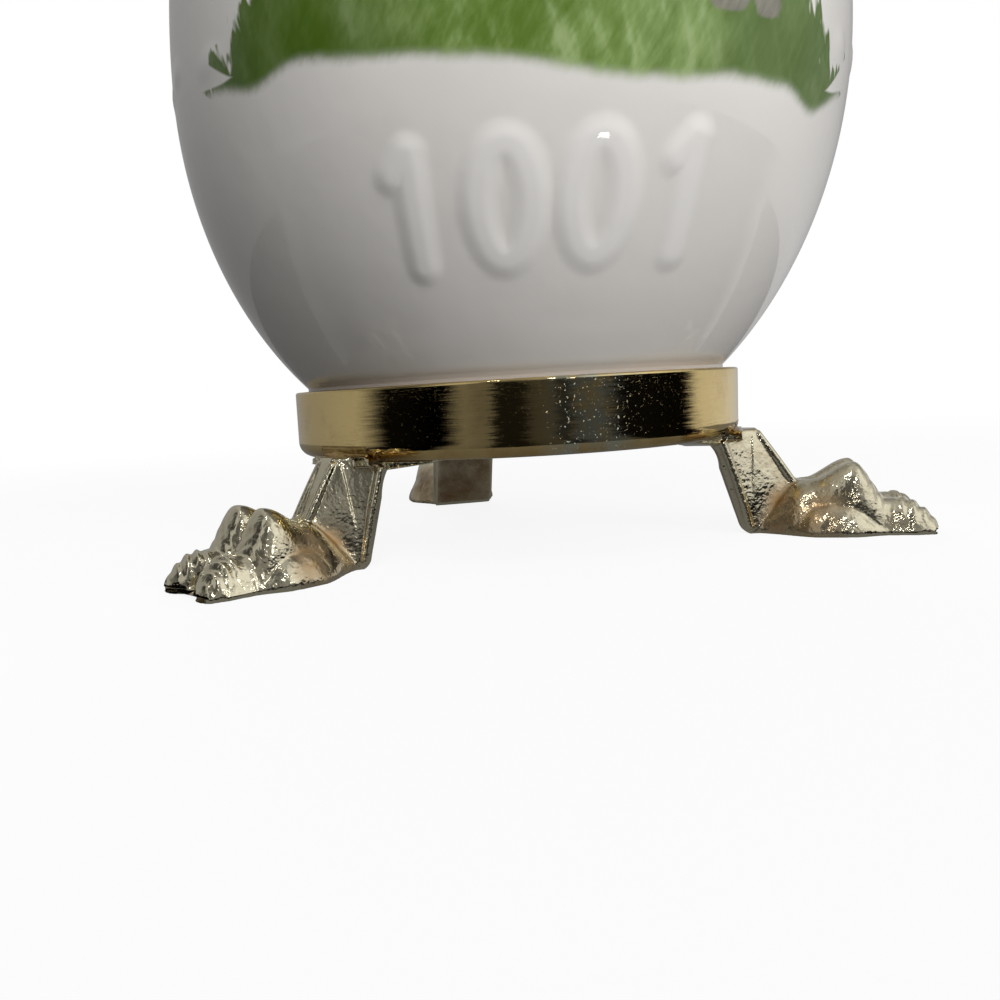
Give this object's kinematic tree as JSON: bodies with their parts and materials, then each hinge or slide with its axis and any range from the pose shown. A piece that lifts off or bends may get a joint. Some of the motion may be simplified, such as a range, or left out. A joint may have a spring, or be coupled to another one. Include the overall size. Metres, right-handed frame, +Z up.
{
  "type": "decorative egg on stand",
  "caption": "Hollow glazed porcelain egg with raised numerals and a painted meadow band, resting loose in a plated metal collar on cast claw legs",
  "frame": {"origin": "middle of the outline on the table, between the egg's front and the rear foot's toe tips", "axes": "+Z up along the egg, +X to the viewer's right, -Y towards the front, with one leg straight behind"},
  "size_m": [0.063, 0.0632, 0.0859],
  "materials": {
    "porcelain": "clear gloss glaze over white porcelain, hand-painted green meadow band, unglazed foot",
    "plated_collar": "bright pale gold plating, fine turning lines and hairline scratches",
    "plated_casting": "pale gold plating over a hammered casting, amber toning in the hollows",
    "solder": "plated solder, toned amber"
  },
  "bodies": {
    "stand": {"collar": "plated_collar", "left_claw_leg": "plated_casting", "right_claw_leg": "plated_casting", "rear_claw_leg": "plated_casting", "solder_fillets": "solder"},
    "egg": {"egg": "porcelain"}
  },
  "joints": [
    {"name": "egg_lift", "type": "slide", "parent": "stand", "child": "egg", "axis": [0, 0, 1], "range_m": [0, 0.03]}
  ]
}
